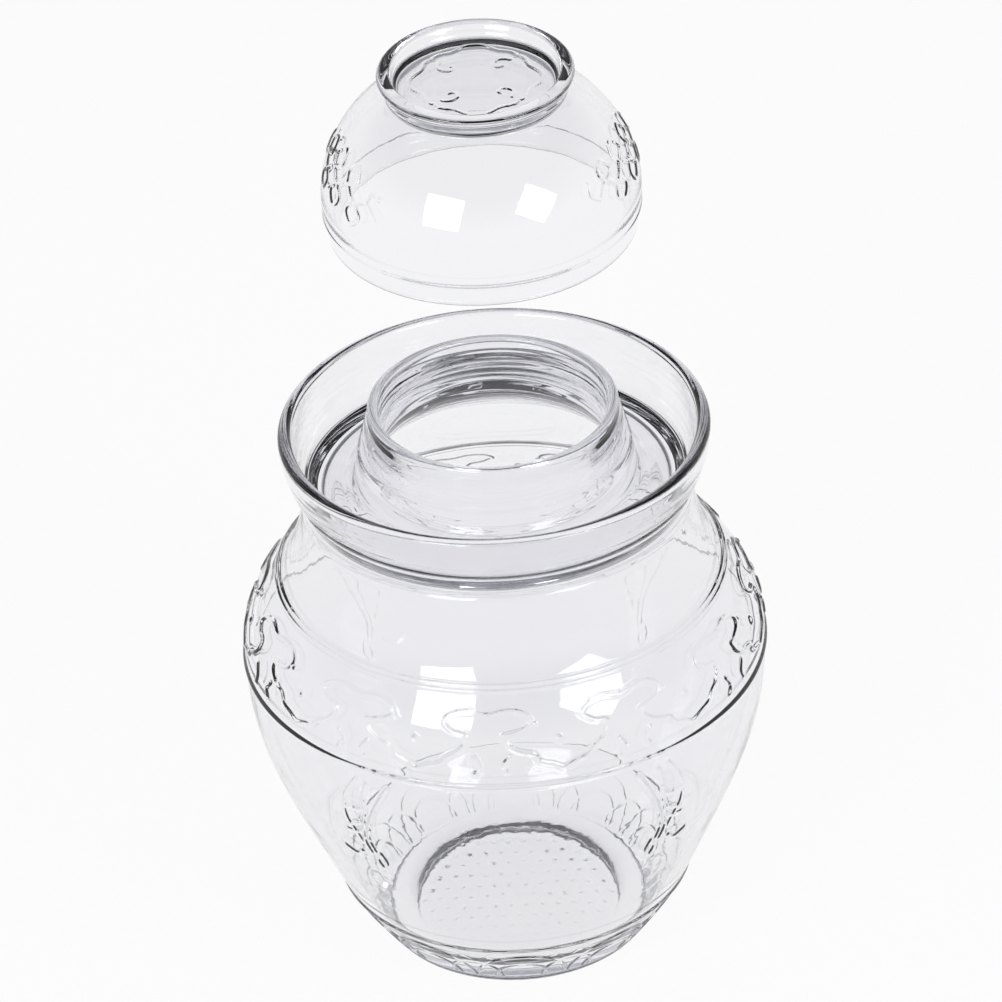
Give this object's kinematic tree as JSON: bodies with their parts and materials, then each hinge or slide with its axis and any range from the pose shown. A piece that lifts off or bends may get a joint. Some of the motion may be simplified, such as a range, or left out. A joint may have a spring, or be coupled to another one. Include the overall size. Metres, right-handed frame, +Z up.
{
  "type": "pickle jar",
  "caption": "Clear glass pickle jar with a water channel round its mouth and a bowl-shaped lid that stands in the channel and lifts off.",
  "frame": {"origin": "centre of the standing ring, on the surface that the jar stands on", "axes": "+Z up along the jar's axis of revolution; -Y towards the viewer of the picture"},
  "size_m": [0.196, 0.196, 0.3713],
  "materials": {
    "clear_glass": "clear pressed glass, fire polished, with a faint grey tint where it is thick"
  },
  "bodies": {
    "jar": {"jar": "clear_glass"},
    "lid": {"lid": "clear_glass"}
  },
  "joints": [
    {"name": "lid_lift", "type": "slide", "parent": "jar", "child": "lid", "axis": [0, 0, 1], "range_m": [-0.108, 0]}
  ]
}
